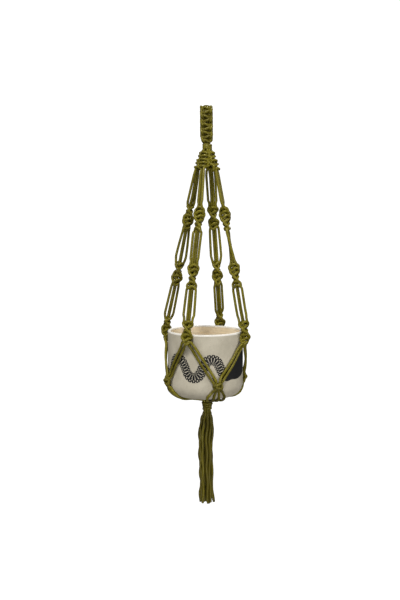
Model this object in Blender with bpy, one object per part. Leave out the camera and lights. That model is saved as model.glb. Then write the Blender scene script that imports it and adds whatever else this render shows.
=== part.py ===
"""Hanging macrame planter: a straight-sided ceramic pot carried by four knotted cord legs.

Metres, +Z up. The origin is where a hook bears inside the hanging loop, and -Y is the front.
Azimuths are counted from the front towards +X. Every cord is a braided cord of one size.
"""

import math

import bmesh
import bpy
from mathutils import Vector

GAP = 0.0004  # clearance kept between neighbouring pieces

# Cord
CORD_RADIUS = 0.0021
CORD_PITCH = 0.0046  # between two cords that lie side by side
CORD_SIDES = 6

# Pot
POT_RADIUS = 0.070
POT_HEIGHT = 0.122
POT_WALL = 0.0048
POT_FLOOR = 0.006
POT_FOOT_ROUND = 0.025
POT_INNER_ROUND = 0.016
POT_RIM_Z = -0.4016
POT_SEGMENTS = 40

# Hanging loop: a flat sennit folded over the hook, bound to a neck of cords
STRAP_WIDTH = 0.023
STRAP_THICKNESS = 0.0088
LOOP_INNER_RADIUS = 0.006
LOOP_NECK_RADIUS = 0.0058
LOOP_KNOTS = 19
TOP_WRAP_TOP_Z = -0.058
TOP_WRAP_BOTTOM_Z = -0.0705

# Wraps: a few turns of cord bound tightly round the neck above and the gather below
WRAP_RADIUS = 0.0093
WRAP_BORE = 0.0064
WRAP_TURNS = 4
WRAP_SEGMENTS = 16
GATHER_WRAP_TOP_Z = -0.536
GATHER_WRAP_BOTTOM_Z = -0.554

# Legs: the azimuth of each, and the height at which its crown of square knots ends
LEG_AZIMUTH = {"left": -114.7, "front": -24.7, "right": 65.3, "back": 155.3}
CROWN_BOTTOM_Z = {"left": -0.105, "front": -0.101, "right": -0.109, "back": -0.105}
LEG_TOP_Z = -0.071
LEG_TOP_RADIUS = 0.0062
LEG_CROWN_Z = -0.105
LEG_CROWN_RADIUS = 0.019
LEG_RIM_Z = -0.394
LEG_RIM_RADIUS = 0.0775
LEG_BEND = 0.006  # how far from a bend in a leg's line its rounding starts
CROWN_HALF_WIDTH = 0.0098
CROWN_HALF_DEPTH = 0.0044

# Spiral sennits of half knots: the top and the bottom of each of the three on a leg
SPIRALS = {
    "upper": (-0.1715, -0.2145),
    "middle": (-0.2755, -0.3205),
    "rim": (-0.3805, -0.4215),
}
SPIRAL_HALF_WIDTH = 0.0108
SPIRAL_HALF_DEPTH = 0.0063
SPIRAL_BORE = 0.0049
SPIRAL_SIDES = 10
SPIRAL_LEVELS = 8

# Degrees by which the flat of four cords is turned from facing front, towards showing its edge:
# at the top and bottom of the three open stretches of each leg, and of its three spirals, which
# all wind the same way
STRETCH_TURN = {
    "left": ((115, 150), (-55, -15), (-46, -35)),
    "front": ((25, 72), (50, 52), (30, 12)),
    "right": ((115, 119), (104, 75), (35, 37)),
    "back": ((25, 42), (-30, -5), (-60, -60)),
}
SPIRAL_TURN = {
    "left": ((153, -52), (193, -50), (165, -59)),
    "front": ((82, -103), (54, -147), (38, -220)),
    "right": ((91, -90), (64, -134), (37, -210)),
    "back": ((238, -33), (190, -60), (125, -120)),
}
STRETCH_OPEN = 0.0026  # how far the outer cords stand off from lying side by side

# Net: one square knot between each two legs, with two cords from either leg
NET_AZIMUTH = {"front_right": 20.3, "front_left": -69.7, "back_right": 110.3, "back_left": -159.7}
NET_KNOT_Z = -0.493
NET_KNOT_HALF_HEIGHT = 0.0074
NET_KNOT_HALF_WIDTH = 0.0083
NET_KNOT_HALF_DEPTH = 0.0051
NET_CORD_SPREAD = 0.0020
NET_CORD_PULL = 0.006  # how far a net cord runs straight down before it turns
BASE_FAN = (-15.0, -4.5, 4.5, 15.0)  # degrees between the four cords at the foot of the pot

# Tassel: it swings about a point just below the gather
NECK_BALL_RADIUS = 0.0052
TASSEL_BOTTOM_Z = -0.732
TASSEL_PROFILE = ((0.0, 0.0085), (0.10, 0.0130), (0.45, 0.0120), (0.97, 0.0138), (1.0, 0.0125))
TASSEL_SIDES = 16

OLIVE = (0.155, 0.140, 0.028, 1.0)
STONEWARE = (0.48, 0.44, 0.35, 1.0)

SURFACE_RADIUS = POT_RADIUS + GAP + CORD_RADIUS  # where a cord's centre runs on the pot
POT_BOTTOM_Z = POT_RIM_Z - POT_HEIGHT
NET_KNOT_RADIUS = POT_RADIUS + GAP + NET_KNOT_HALF_DEPTH
TASSEL_PIVOT = Vector((0.0, 0.0, GATHER_WRAP_BOTTOM_Z - GAP - NECK_BALL_RADIUS))


def clear_scene():
    for obj in list(bpy.data.objects):
        bpy.data.objects.remove(obj, do_unlink=True)


def make_material(name, colour, roughness):
    material = bpy.data.materials.new(name)
    material.use_nodes = True
    shader = material.node_tree.nodes["Principled BSDF"]
    shader.inputs["Base Color"].default_value = colour
    shader.inputs["Roughness"].default_value = roughness
    shader.inputs["Metallic"].default_value = 0.0
    return material


def polar(azimuth, radius, z):
    """The point at an azimuth in radians from the front, a distance from the axis and a height."""
    return Vector((radius * math.sin(azimuth), -radius * math.cos(azimuth), z))


def smooth_step(value):
    t = min(max(value, 0.0), 1.0)
    return t * t * (3.0 - 2.0 * t)


def steps(count):
    """Evenly spaced values from 0 to 1, both included."""
    return [i / (count - 1) for i in range(count)]


# Meshes


def loft(rings, closed=False):
    """A mesh through rings of points; closed joins the last ring to the first, or caps both."""
    mesh = bmesh.new()
    loops = [[mesh.verts.new(point) for point in ring] for ring in rings]
    following = loops[1:] + loops[:1] if closed else loops[1:]
    for ring, after in zip(loops, following):
        for i in range(len(ring)):
            j = (i + 1) % len(ring)
            mesh.faces.new((ring[i], ring[j], after[j], after[i]))
    if not closed:
        mesh.faces.new(loops[0])
        mesh.faces.new(loops[-1])
    bmesh.ops.recalc_face_normals(mesh, faces=mesh.faces)
    data = bpy.data.meshes.new("solid")
    mesh.to_mesh(data)
    mesh.free()
    return data


def add_object(name, data, material, origin=(0.0, 0.0, 0.0)):
    """An object whose mesh was made in world space, with its own origin where it turns."""
    for vertex in data.vertices:
        vertex.co -= Vector(origin)
    obj = bpy.data.objects.new(name, data)
    obj.location = origin
    data.materials.append(material)
    data.shade_smooth()
    data.set_sharp_from_angle(angle=math.radians(40))
    bpy.context.collection.objects.link(obj)
    return obj


def combine(obj, operation, data):
    """Unites a mesh with the object, or cuts it out, by a Boolean whose helper is hidden."""
    helper = bpy.data.objects.new(f"{obj.name}_helper", data)
    helper.hide_render = True
    helper.display_type = "WIRE"
    bpy.context.collection.objects.link(helper)
    modifier = obj.modifiers.new(operation.lower(), "BOOLEAN")
    modifier.operation = operation
    modifier.solver = "EXACT"
    modifier.object = helper


def tube(points, radius=CORD_RADIUS, sides=CORD_SIDES):
    """A cord of round section along points, its section carried along without twisting."""
    tangents = []
    for i in range(len(points)):
        before, after = points[max(i - 1, 0)], points[min(i + 1, len(points) - 1)]
        tangents.append((after - before).normalized())
    normal = tangents[0].orthogonal().normalized()
    rings = []
    for point, tangent in zip(points, tangents):
        normal = (normal - tangent * normal.dot(tangent)).normalized()
        across = tangent.cross(normal)
        turns = [2.0 * math.pi * k / sides for k in range(sides)]
        rings.append([point + radius * (math.cos(a) * normal + math.sin(a) * across) for a in turns])
    return loft(rings)


def turned(profile, segments, closed):
    """A body turned about the Z axis from (radius, z) pairs."""
    rings = []
    for radius, z in profile:
        rings.append([polar(2.0 * math.pi * k / segments, radius, z) for k in range(segments)])
    return loft(rings, closed)


def arc(centre, radius, start, end, count):
    """(radius, z) pairs on an arc, angles in degrees from the outward direction, upwards."""
    angles = [math.radians(start + (end - start) * t) for t in steps(count)]
    return [(centre[0] + radius * math.cos(a), centre[1] + radius * math.sin(a)) for a in angles]


# Pot and wraps


def pot_profile():
    """From the middle of the underside, up the outside, over the lip and down to the inside floor."""
    inner = POT_RADIUS - POT_WALL
    floor_z = POT_BOTTOM_Z + POT_FLOOR
    lip = POT_WALL / 2.0
    foot = (POT_RADIUS - POT_FOOT_ROUND, POT_BOTTOM_Z + POT_FOOT_ROUND)
    well = (inner - POT_INNER_ROUND, floor_z + POT_INNER_ROUND)
    outside = arc(foot, POT_FOOT_ROUND, -90.0, 0.0, 6)
    rim = arc((POT_RADIUS - lip, POT_RIM_Z - lip), lip, 0.0, 180.0, 5)
    inside = arc(well, POT_INNER_ROUND, 0.0, -90.0, 4)
    return outside + rim + inside


def build_pot(material):
    data = turned(pot_profile(), POT_SEGMENTS, closed=False)
    add_object("pot", data, material, origin=(0.0, 0.0, POT_BOTTOM_Z))


def build_wrap(name, top, bottom, material):
    """A coil of touching turns: ridged outside, with the bundled cords' bore down its middle."""
    ridge = 0.0007
    count = 2 * WRAP_TURNS + 1
    profile = []
    for i, t in enumerate(steps(count)):
        profile.append((WRAP_RADIUS - ridge * (i + 1 & 1), top + (bottom - top) * t))
    profile += [(WRAP_BORE, bottom), (WRAP_BORE, top)]
    add_object(name, turned(profile, WRAP_SEGMENTS, closed=True), material)


# Hanging loop


def strap_centre(t):
    """(y, z, unit tangent) of the strap's middle line, from the front end over to the back end."""
    bend = LOOP_INNER_RADIUS + STRAP_THICKNESS / 2.0
    crest = -LOOP_INNER_RADIUS
    foot_y = STRAP_THICKNESS / 2.0 + GAP
    foot_z = TOP_WRAP_TOP_Z + 0.002
    side = math.hypot(bend - foot_y, crest - foot_z)
    total = 2.0 * side + math.pi * bend
    along = t * total
    if along < side:
        u = along / side
        eased = u + 0.25 * math.sin(math.pi * u) / math.pi
        return (-(foot_y + (bend - foot_y) * eased), foot_z + (crest - foot_z) * u)
    if along > total - side:
        y, z = strap_centre(1.0 - t)
        return (-y, z)
    angle = (along - side) / bend
    return (-bend * math.cos(angle), crest + bend * math.sin(angle))


def strap_ring(t, count):
    """One section of the strap: a flat octagon that swells and narrows with each knot."""
    y, z = strap_centre(t)
    y_before, z_before = strap_centre(max(t - 0.004, 0.0))
    y_after, z_after = strap_centre(min(t + 0.004, 1.0))
    tangent = Vector((0.0, y_after - y_before, z_after - z_before)).normalized()
    outward = Vector((0.0, -tangent.z, tangent.y))
    swell = 1.0 if count % 2 else 0.93
    taper = 0.88 + 0.12 * smooth_step(min(t, 1.0 - t) / 0.12)
    half = STRAP_WIDTH / 2.0 * swell * taper
    deep = STRAP_THICKNESS / 2.0
    corners = ((1.0, 0.45), (0.75, 1.0), (-0.75, 1.0), (-1.0, 0.45))
    corners += tuple((-a, -b) for a, b in corners)
    centre = Vector((0.0, y, z))
    return [centre + Vector((half * a, 0.0, 0.0)) + outward * deep * b for a, b in corners]


def build_hanging_loop(material):
    count = 2 * LOOP_KNOTS + 1
    rings = [strap_ring(t, i) for i, t in enumerate(steps(count))]
    obj = add_object("hanging_loop", loft(rings), material)
    neck = [(LOOP_NECK_RADIUS, TOP_WRAP_TOP_Z + 0.008), (LOOP_NECK_RADIUS, TOP_WRAP_BOTTOM_Z)]
    combine(obj, "UNION", turned(neck, WRAP_SEGMENTS, closed=False))


# Legs


def leg_radius(z):
    """A leg's distance from the axis: it flares in the crown, runs straight, and meets the rim."""
    flare = (LEG_CROWN_RADIUS - LEG_TOP_RADIUS) / (LEG_TOP_Z - LEG_CROWN_Z)
    slope = (LEG_RIM_RADIUS - LEG_CROWN_RADIUS) / (LEG_CROWN_Z - LEG_RIM_Z)
    below_crown, below_rim = LEG_CROWN_Z - z, LEG_RIM_Z - z
    radius = LEG_CROWN_RADIUS + flare * below_crown
    radius -= (flare - slope) * rounded_ramp(below_crown)
    return radius - slope * rounded_ramp(below_rim)


def rounded_ramp(x):
    """0 below zero and x above it, with the corner rounded."""
    if x <= -LEG_BEND:
        return 0.0
    if x >= LEG_BEND:
        return x
    return (x + LEG_BEND) ** 2 / (4.0 * LEG_BEND)


def leg_centre(leg, z):
    return polar(math.radians(LEG_AZIMUTH[leg]), leg_radius(z), z)


def leg_axes(leg, z):
    """The leg's direction downwards, and two directions square to it: rightwards and frontwards."""
    step = 0.004
    down = (leg_centre(leg, z - step) - leg_centre(leg, z + step)).normalized()
    right = (Vector((1.0, 0.0, 0.0)) - down * down.x).normalized()
    return down, right, down.cross(right)


def across(leg, z, angle):
    """The direction in the leg's cross section that has turned by angle from rightwards."""
    _, right, front = leg_axes(leg, z)
    return math.cos(angle) * right + math.sin(angle) * front


def keep_off_pot(point):
    """Moves a point out to the pot's surface if it lies inside it, below the rim."""
    margin = 0.004
    flat = Vector((point.x, point.y, 0.0))
    least = POT_RADIUS + GAP
    if point.z < POT_RIM_Z + margin and 0.5 * least < flat.length < least:
        flat *= least / flat.length
    return Vector((flat.x, flat.y, point.z))


def stretch_ends(leg, index):
    """The top and bottom heights of one of a leg's three open stretches."""
    tops = [CROWN_BOTTOM_Z[leg], SPIRALS["upper"][1], SPIRALS["middle"][1]]
    bottoms = [SPIRALS["upper"][0], SPIRALS["middle"][0], SPIRALS["rim"][0]]
    return tops[index], bottoms[index]


def working_cord(leg, index, side):
    """An outer cord of an open stretch: it starts inside the knot above and stops at the next."""
    top, bottom = stretch_ends(leg, index)
    turn_top, turn_bottom = (math.radians(a) for a in STRETCH_TURN[leg][index])
    start = 0.003
    stop = 2.0 * GAP
    points = []
    for t in steps(7):
        z = top + start + (bottom + stop - top - start) * t
        offset = 1.5 * CORD_PITCH + STRETCH_OPEN * abs(math.sin(math.pi * t)) ** 0.5
        direction = across(leg, z, turn_top + (turn_bottom - turn_top) * t)
        points.append(leg_centre(leg, z) + side * offset * direction)
    return tube(points)


def add_working_cords(obj, leg, index):
    for side in (-1.0, 1.0):
        combine(obj, "UNION", working_cord(leg, index, side))


def build_crown_knots(leg, material):
    """Square knots under the wrap: narrow where the four legs meet, then at their full width."""
    azimuth = math.radians(LEG_AZIMUTH[leg])
    sideways = Vector((math.cos(azimuth), math.sin(azimuth), 0.0))
    top = TOP_WRAP_BOTTOM_Z - 2.0 * GAP
    rings = []
    for i, t in enumerate(steps(9)):
        z = top + (CROWN_BOTTOM_Z[leg] - top) * t
        centre = leg_centre(leg, z)
        radius = math.hypot(centre.x, centre.y)
        down = leg_axes(leg, z)[0] if i else Vector((0.0, 0.0, -1.0))
        outwards = sideways.cross(down)
        deep = min(CROWN_HALF_DEPTH, 0.62 * radius)
        half = min(CROWN_HALF_WIDTH, 0.98 * (radius - 0.4 * deep)) * (1.0 if i % 2 else 0.94)
        corners = [math.radians(45.0 * k + 22.5) for k in range(8)]
        rings.append(
            [centre + half * math.cos(a) * sideways + deep * math.sin(a) * outwards for a in corners]
        )
    obj = add_object(f"crown_knots_{leg}", loft(rings), material)
    add_working_cords(obj, leg, 0)


def spiral_turn(leg, name, t):
    """The angle of a spiral's long axis, t of the way down it."""
    start, end = SPIRAL_TURN[leg][list(SPIRALS).index(name)]
    return math.radians(start + (end - start) * t)


def spiral_bore(leg, top, bottom):
    """The hole down a spiral that its two filler cords run through."""
    beyond = 0.006
    radius = SPIRAL_BORE / math.cos(math.pi / SPIRAL_SIDES)
    heights = [top + beyond + (bottom - top - 2.0 * beyond) * t for t in steps(6)]
    return tube([leg_centre(leg, z) for z in heights], radius, SPIRAL_SIDES)


def build_spiral(leg, name, material):
    top, bottom = SPIRALS[name]
    rings = []
    for i, t in enumerate(steps(SPIRAL_LEVELS)):
        z = top + (bottom - top) * t
        centre = leg_centre(leg, z)
        long_axis = across(leg, z, spiral_turn(leg, name, t))
        short_axis = leg_axes(leg, z)[0].cross(long_axis)
        half = SPIRAL_HALF_WIDTH * (0.86 if i in (0, SPIRAL_LEVELS - 1) else 1.0)
        ring = []
        for k in range(SPIRAL_SIDES):
            angle = 2.0 * math.pi * k / SPIRAL_SIDES
            deep = SPIRAL_HALF_DEPTH * math.sin(angle) * short_axis
            ring.append(keep_off_pot(centre + half * math.cos(angle) * long_axis + deep))
        rings.append(ring)
    obj = add_object(f"{name}_spiral_{leg}", loft(rings), material)
    combine(obj, "DIFFERENCE", spiral_bore(leg, top, bottom))
    if name == "upper":
        add_working_cords(obj, leg, 1)
    if name == "middle":
        add_working_cords(obj, leg, 2)


def build_filler_cords(leg, material):
    """The two cords that run straight down a leg, through the bores of its spirals."""
    azimuth = math.radians(LEG_AZIMUTH[leg])
    sideways = Vector((math.cos(azimuth), math.sin(azimuth), 0.0))
    top = CROWN_BOTTOM_Z[leg] - 2.0 * GAP
    for number, side in ((1, -1.0), (2, 1.0)):
        points = []
        for t in steps(14):
            z = top + (SPIRALS["rim"][1] - top) * t
            points.append(leg_centre(leg, z) + side * CORD_PITCH / 2.0 * sideways)
        add_object(f"filler_cord_{leg}_{number}", tube(points), material)


# Net and base


def net_cord(net, side, lane):
    """A cord from a leg's last spiral to a net knot, laid on the pot.

    side is -1 from the leg on the knot's left and 1 from its right. Lane 1 lies on the outside
    of the leg's four cords, and in the middle of the knot's. It is worked out as if unrolled.
    """
    top = SPIRALS["rim"][1] - 4.0 * GAP
    bottom = NET_KNOT_Z + NET_KNOT_HALF_HEIGHT + 3.0 * GAP
    start = Vector((side * (math.radians(45.0) * SURFACE_RADIUS - CORD_PITCH), top))
    end = Vector((side * CORD_PITCH, bottom))
    pull = Vector((0.0, NET_CORD_PULL))
    shape = (start, start - pull, end + pull, end)
    points = []
    for t in steps(9):
        weights = ((1 - t) ** 3, 3 * t * (1 - t) ** 2, 3 * t * t * (1 - t), t**3)
        slopes = (-3 * (1 - t) ** 2, 3 * (1 - t) * (1 - 3 * t), 3 * t * (2 - 3 * t), 3 * t * t)
        flat = sum((w * p for w, p in zip(weights, shape)), Vector((0.0, 0.0)))
        along = sum((s * p for s, p in zip(slopes, shape)), Vector((0.0, 0.0))).normalized()
        apart = CORD_PITCH / 2.0 + NET_CORD_SPREAD * abs(math.sin(math.pi * t)) ** 0.5
        flat += lane * side * apart * Vector((along.y, -along.x))
        radius = SURFACE_RADIUS
        radius += (LEG_RIM_RADIUS - SURFACE_RADIUS) * (1.0 - smooth_step(t / 0.3))
        radius += (NET_KNOT_RADIUS - SURFACE_RADIUS) * smooth_step((t - 0.8) / 0.2)
        points.append(polar(math.radians(NET_AZIMUTH[net]) + flat.x / SURFACE_RADIUS, radius, flat.y))
    return tube(points)


def build_net_cords(net, material):
    lanes = ((-1.0, -1.0), (-1.0, 1.0), (1.0, 1.0), (1.0, -1.0))
    for number, (side, lane) in enumerate(lanes, start=1):
        add_object(f"net_cord_{net}_{number}", net_cord(net, side, lane), material)


def base_route():
    """(radius, z) pairs of a cord that rounds the pot's foot and runs in under it, taut."""
    foot = (POT_RADIUS - POT_FOOT_ROUND, POT_BOTTOM_Z + POT_FOOT_ROUND)
    bend = POT_FOOT_ROUND + GAP + CORD_RADIUS
    inner_end = (0.0090, GATHER_WRAP_TOP_Z + 0.0042)
    reach = math.hypot(foot[0] - inner_end[0], foot[1] - inner_end[1])
    rise = math.atan2(foot[1] - inner_end[1], foot[0] - inner_end[0])
    leave = math.degrees(rise - math.asin(bend / reach)) - 90.0
    return arc(foot, bend, -10.0, leave, 6) + [inner_end]


def base_cord(net, fan, start_offset):
    azimuth = math.radians(NET_AZIMUTH[net])
    start_z = NET_KNOT_Z - 0.6 * NET_KNOT_HALF_HEIGHT
    points = [polar(azimuth + start_offset / NET_KNOT_RADIUS, NET_KNOT_RADIUS - 0.001, start_z)]
    route = base_route()
    for i, (radius, z) in enumerate(route):
        spread = smooth_step((i + 1.5) / 4.5) if i < len(route) - 1 else 0.2
        angle = (1.0 - spread) * start_offset / NET_KNOT_RADIUS + spread * math.radians(fan)
        points.append(polar(azimuth + angle, radius, z))
    return tube(points)


def quarter_bundle(net):
    """Where the four cords from one net knot join and turn down into the gather wrap's bore."""
    azimuth = math.radians(NET_AZIMUTH[net])
    inside = 0.0038
    top = GATHER_WRAP_TOP_Z
    route = [(0.0115, top + 0.0047), (0.0082, top + 0.0041), (0.0052, top + 0.0028)]
    route += [(inside, top - 0.001), (inside, GATHER_WRAP_BOTTOM_Z)]
    return tube([polar(azimuth, radius, z) for radius, z in route])


def build_net_knot(net, material):
    """A square knot with its four cords running on, round the pot's foot and into the gather."""
    azimuth = math.radians(NET_AZIMUTH[net])
    centre = polar(azimuth, NET_KNOT_RADIUS, NET_KNOT_Z)
    sideways = Vector((math.cos(azimuth), math.sin(azimuth), 0.0))
    outwards = Vector((math.sin(azimuth), -math.cos(azimuth), 0.0))
    levels = ((1.0, 0.72), (0.6, 0.98), (0.0, 1.0), (-0.6, 0.98), (-1.0, 0.78))
    rings = []
    for height, scale in levels:
        middle = centre + Vector((0.0, 0.0, height * NET_KNOT_HALF_HEIGHT))
        ring = []
        for k in range(8):
            angle = math.radians(45.0 * k + 22.5)
            wide = NET_KNOT_HALF_WIDTH * scale * math.cos(angle) * sideways
            ring.append(middle + wide + NET_KNOT_HALF_DEPTH * scale * math.sin(angle) * outwards)
        rings.append(ring)
    obj = add_object(f"net_knot_{net}", loft(rings), material)
    for index, fan in enumerate(BASE_FAN):
        combine(obj, "UNION", base_cord(net, fan, (index - 1.5) * 0.0038))
    combine(obj, "UNION", quarter_bundle(net))


# Tassel


def build_tassel(material):
    """The cords below the gather: a short neck that gives every way, and the hanging strands."""
    levels = 7
    ball = arc((0.0, TASSEL_PIVOT.z), NECK_BALL_RADIUS, 75.0, -75.0, levels)
    add_object("tassel_neck", turned(ball, 12, closed=False), material, origin=TASSEL_PIVOT)
    top = TASSEL_PIVOT.z - NECK_BALL_RADIUS - GAP
    profile = [(radius, top + (TASSEL_BOTTOM_Z - top) * t) for t, radius in TASSEL_PROFILE]
    add_object("tassel", turned(profile, TASSEL_SIDES, closed=False), material, origin=TASSEL_PIVOT)


def main():
    clear_scene()
    cord = make_material("olive_cord", OLIVE, 0.55)
    ceramic = make_material("stoneware", STONEWARE, 0.7)
    build_pot(ceramic)
    build_hanging_loop(cord)
    build_wrap("top_wrap", TOP_WRAP_TOP_Z, TOP_WRAP_BOTTOM_Z, cord)
    for leg in LEG_AZIMUTH:
        build_crown_knots(leg, cord)
        build_filler_cords(leg, cord)
        for name in SPIRALS:
            build_spiral(leg, name, cord)
    for net in NET_AZIMUTH:
        build_net_cords(net, cord)
        build_net_knot(net, cord)
    build_wrap("gather_wrap", GATHER_WRAP_TOP_Z, GATHER_WRAP_BOTTOM_Z, cord)
    build_tassel(cord)


main()
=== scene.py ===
"""Looks of the hanging macrame planter: every cord of the knotting, and the glazed pot.

Metres, +Z up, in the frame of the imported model. -Y is the front, and azimuths are counted from
the front towards +X. Every cord is a braided cord laid along its own path through the knots.
"""

import math
import random

import bpy
import numpy as np
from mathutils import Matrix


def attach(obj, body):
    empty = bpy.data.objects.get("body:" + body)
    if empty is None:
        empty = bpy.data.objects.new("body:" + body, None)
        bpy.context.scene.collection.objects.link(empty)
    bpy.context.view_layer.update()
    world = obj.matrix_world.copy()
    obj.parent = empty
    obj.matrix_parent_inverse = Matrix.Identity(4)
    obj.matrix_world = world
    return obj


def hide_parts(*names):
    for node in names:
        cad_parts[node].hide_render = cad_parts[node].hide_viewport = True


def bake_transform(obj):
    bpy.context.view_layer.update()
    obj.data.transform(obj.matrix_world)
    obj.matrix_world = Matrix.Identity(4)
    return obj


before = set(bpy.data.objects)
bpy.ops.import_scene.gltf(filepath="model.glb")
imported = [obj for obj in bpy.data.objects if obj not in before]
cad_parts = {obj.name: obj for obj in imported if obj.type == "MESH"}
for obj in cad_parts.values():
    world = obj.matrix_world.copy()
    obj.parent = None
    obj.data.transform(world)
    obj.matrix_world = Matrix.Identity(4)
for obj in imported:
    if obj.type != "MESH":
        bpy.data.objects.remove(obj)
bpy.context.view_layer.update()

# Camera
CAMERA_AT = (-0.0101, -1.637, -0.1815)
CAMERA_PITCH = 0.100  # radians below level
CAMERA_LENS = 53.2

# Sizes and places, most of them shared with the solids
GAP = 0.0004
CORD_PITCH = 0.0046
POT_RADIUS = 0.070
POT_HEIGHT = 0.122
POT_WALL = 0.0048
POT_FLOOR = 0.006
POT_FOOT_ROUND = 0.025
POT_INNER_ROUND = 0.016
POT_RIM_Z = -0.4016
POT_BOTTOM_Z = POT_RIM_Z - POT_HEIGHT
STRAP_WIDTH = 0.023
STRAP_THICKNESS = 0.0088
LOOP_INNER_RADIUS = 0.006
LOOP_KNOTS = 19
LOOP_CROSSING = 0.0011  # how far its crossings stand out of the strap
LOOP_FILLERS = (-0.0048, -0.0016, 0.0016, 0.0048)
STRAP_LENGTH = 0.133
NECK_CORDS = 8
TOP_WRAP_TOP_Z = -0.058
TOP_WRAP_BOTTOM_Z = -0.0705
GATHER_WRAP_TOP_Z = -0.536
GATHER_WRAP_BOTTOM_Z = -0.554
TOP_WRAP_RADII = (0.0093, 0.0093)  # of its outside, at the top and at the bottom
GATHER_WRAP_RADII = (0.0106, 0.0088)
TOP_WRAP_TURNS = 3.15
GATHER_WRAP_TURNS = 3.6
LEG_AZIMUTH = {"left": -114.7, "front": -24.7, "right": 65.3, "back": 155.3}
CROWN_BOTTOM_Z = {"left": -0.105, "front": -0.1045, "right": -0.109, "back": -0.105}
LEG_TOP_Z = -0.071
LEG_TOP_RADIUS = 0.0062
LEG_CROWN_Z = -0.105
LEG_CROWN_RADIUS = 0.019
LEG_RIM_Z = -0.394
LEG_RIM_RADIUS = 0.0775
LEG_BEND = 0.006
CROWN_HALF_WIDTH = 0.0110
CROWN_HALF_DEPTH = 0.0044
CROWN_KNOTS = 5
SPIRALS = {"upper": (-0.1715, -0.2145), "middle": (-0.2755, -0.3205), "rim": (-0.3805, -0.4215)}
# How far the wide side of each leg's stretches and spirals has turned from rightwards, in degrees,
# at the top and at the bottom of each
STRETCH_TURN = {
    "left": ((112, 134), (-55, -15), (-46, -35)),
    "front": ((72, 66), (40, 44), (30, 12)),
    "right": ((104, 106), (104, 75), (35, 37)),
    "back": ((20, 30), (-30, -5), (-42, -42)),
}
SPIRAL_TURN = {
    "left": ((153, -52), (193, -50), (165, -59)),
    "front": ((82, -103), (54, -147), (38, -220)),
    "right": ((91, -90), (64, -134), (37, -210)),
    "back": ((238, -33), (190, -60), (125, -120)),
}
# How much higher than in the solids each leg's three spirals have slipped
SPIRAL_LIFT = {
    "left": (0.0, 0.0, 0.0),
    "front": (-0.0015, 0.0, 0.0050),
    "right": (-0.0015, 0.0, 0.0),
    "back": (0.0, 0.0, 0.0010),
}
# How far to the right the fillers have settled in each leg's first open stretch
FILLER_SET = {"left": 0.0013, "front": 0.0, "right": 0.0, "back": 0.0009}
# How far each leg and its net cords stand to the right, at these heights and at some others
UPPER_SWAY_HEIGHTS = (-0.08, -0.10, -0.19, -0.30, -0.36)
LEG_SWAY = {
    "left": ((0.0, 0.0008, 0.0020, 0.0009, -0.0012), {-0.40: -0.0028, -0.4215: -0.0028}),
    "front": ((0.0, 0.0014, 0.0038, 0.0007, 0.0), {-0.24: 0.0020, -0.42: -0.0013}),
    "right": ((0.0, 0.0016, 0.0025, 0.0014, 0.0), {-0.42: 0.0010}),
    "back": ((0.0, 0.0004, -0.0003, -0.0015, -0.0028), {-0.40: -0.0038, -0.4215: -0.0038}),
}
SWAY_END_Z = -0.485
# Each net's two legs, its azimuth, how many degrees round the pot its knot has slipped, and how
# far the cords from its first leg stand off the pot halfway down
NETS = {
    "front_right": ("front", "right", 20.3, -3.3, 0.0),
    "front_left": ("left", "front", -69.7, 2.0, 0.0),
    "back_right": ("right", "back", 110.3, -3.5, 0.0022),
    "back_left": ("back", "left", -159.7, 0.0, 0.0),
}
PAIR_AT = 0.0064  # the middle of a pair of net cords, from its leg or knot
PAIR_APART = 0.0028  # each cord of a pair, from the pair's middle
NET_KNOT_Z = -0.494
NET_KNOT_HALF_HEIGHT = 0.0074
NET_KNOT_HALF_DEPTH = 0.0051
NET_KNOT_PITCH = 0.0062
NET_KNOT_HALF_WIDTH = 0.0077  # to the middle of its outermost cord
NET_KNOT_CROSSING = 0.0034  # how far its crossings stand out
NET_CORD_SPREAD = 0.0010
NET_CORD_PULL = 0.0025
BASE_FAN = (4.5, 15.0)  # degrees either side of a net knot that its inner and outer cords run
KNOT_FILLER_AT = 0.0021  # the net knot's two inner cords, from its middle
KNOT_EXIT_AT = 0.0058  # its two outer cords, where they leave it
NECK_BALL_RADIUS = 0.0052
TASSEL_BOTTOM_Z = -0.732
PIVOT_Z = GATHER_WRAP_BOTTOM_Z - GAP - NECK_BALL_RADIUS

# The braided cord as it shows
CORD_RADIUS = 0.00235
KNOT_RADIUS = 0.00232  # where a knot presses it
TOP_WRAP_CORD_RADIUS = 0.00215
INNER_CORD_RADIUS = 0.0016  # inside the hanging loop
NECK_CORD_RADIUS = 0.0019
STUB_RADIUS = 0.00155  # inside the gather, above the tassel
GATHERED_RADIUS = 0.0042  # of the ring that the outer cords make inside the gather
GATHER_ENTRY_RADIUS = 0.0092  # where they turn down into it
CROWN_PAINTED_SHADE = -1.0  # painted shade: the darker tone of cords deep inside the crown, where shade falls between the knots
# painted shade: the darker tone of the filler cords buried inside the hanging loop
LOOP_PAINTED_SHADE = -1.4
CORD_SIDES = 12
RING_SPACING = 0.0009
BRAID_PITCH = 0.0028
POINTS_PER_TURN = 24
SURFACE_RADIUS = POT_RADIUS + 0.0003 + CORD_RADIUS
NET_KNOT_RADIUS = POT_RADIUS + GAP + NET_KNOT_HALF_DEPTH

# The spirals of half knots, and the open stretches between them
SPIRAL_KNOTS = 6
SPIRAL_SHORT = (0.10, 0.10, 0.40)  # of a pitch that the last half knot lacks below it
SPIRAL_HALF_WIDTH = 0.0079
SPIRAL_HALF_DEPTH = 0.0042
# Where a stretch's outer cords stand: where they start, at their widest and into the next spiral,
# and how far down from the start they are at their widest
FIRST_STRETCH = (0.0072, 0.0088, 0.0062, 0.012)
LATER_STRETCH = (0.0094, 0.0097, 0.0062, 0.004)
STRETCH_CLOSING = 0.0075

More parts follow.
